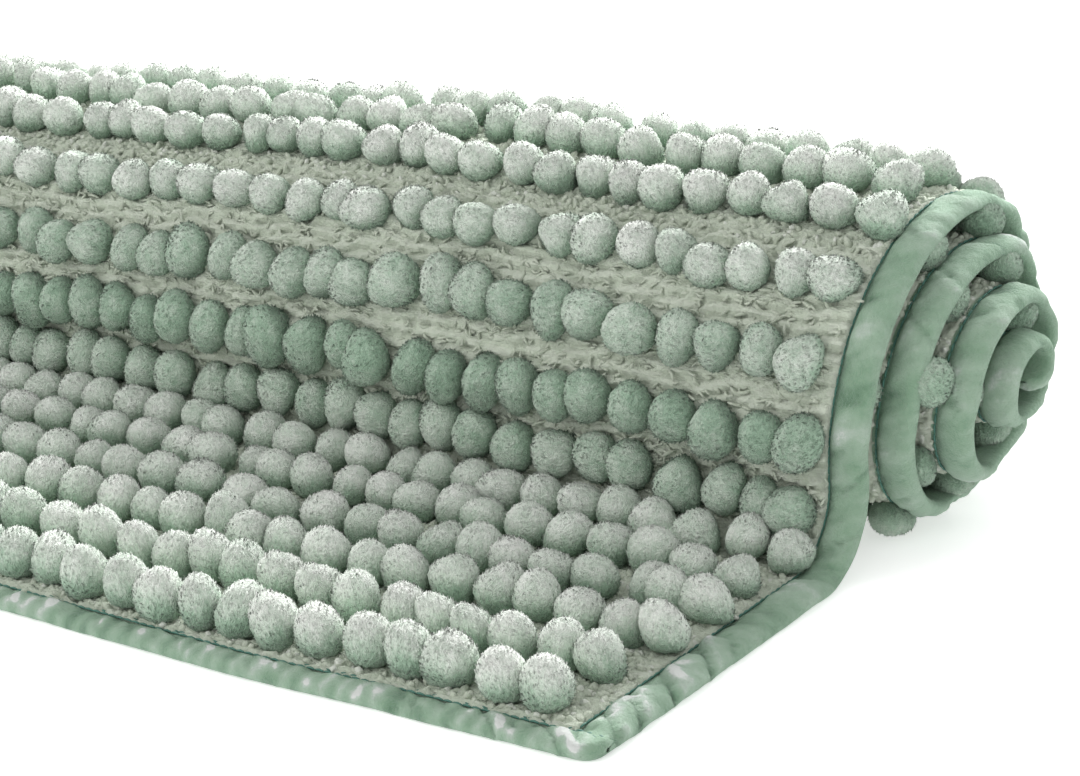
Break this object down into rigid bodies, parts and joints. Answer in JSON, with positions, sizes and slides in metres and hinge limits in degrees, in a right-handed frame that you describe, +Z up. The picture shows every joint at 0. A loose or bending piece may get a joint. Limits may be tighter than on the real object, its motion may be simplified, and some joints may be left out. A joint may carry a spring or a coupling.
{
  "type": "bath mat",
  "caption": "Rectangular chenille bath mat with rows of plush bobbles and a velour binding, rolled up from one end with the front lip lying flat.",
  "frame": {"origin": "centre of the whole mat's box at floor level, as it stands rolled up with its lip out flat", "axes": "+X along the roll and the bobble rows, towards the end where the inner turns stick out; +Y from the front lip to the back of the roll; +Z up"},
  "size_m": [0.529, 0.2478, 0.1089],
  "materials": {
    "bobble": "plush sage chenille yarn with frosted tips",
    "ground_pile": "short curly greige pile",
    "binding": "sage velour tape",
    "thread": "matte dark green sewing thread",
    "cloth": "plain woven ground cloth",
    "backing": "matte latex anti-slip coat"
  },
  "bodies": {
    "root": {"antislip_backing": "backing", "base_cloth": "cloth", "binding_front": "binding", "binding_inner_end": "binding", "binding_left": "binding", "binding_right": "binding", "bobble_row_01": "bobble", "bobble_row_02": "bobble", "bobble_row_03": "bobble", "bobble_row_04": "bobble", "bobble_row_05": "bobble", "bobble_row_06": "bobble", "bobble_row_07": "bobble", "bobble_row_08": "bobble", "bobble_row_09": "bobble", "bobble_row_10": "bobble", "bobble_row_11": "bobble", "bobble_row_12": "bobble", "bobble_row_13": "bobble", "bobble_row_14": "bobble", "bobble_row_15": "bobble", "bobble_row_16": "bobble", "bobble_row_17": "bobble", "bobble_row_18": "bobble", "bobble_row_19": "bobble", "bobble_row_20": "bobble", "bobble_row_21": "bobble", "bobble_row_22": "bobble", "bobble_row_23": "bobble", "bobble_row_24": "bobble", "bobble_row_25": "bobble", "bobble_row_26": "bobble", "bobble_row_27": "bobble", "bobble_row_28": "bobble", "bobble_row_29": "bobble", "bobble_row_30": "bobble", "bobble_row_31": "bobble", "bobble_row_32": "bobble", "bobble_row_33": "bobble", "bobble_row_34": "bobble", "bobble_row_35": "bobble", "bobble_row_36": "bobble", "ground_pile": "ground_pile", "seam_front": "thread", "seam_inner_end": "thread", "seam_left": "thread", "seam_right": "thread"}
  },
  "joints": []
}
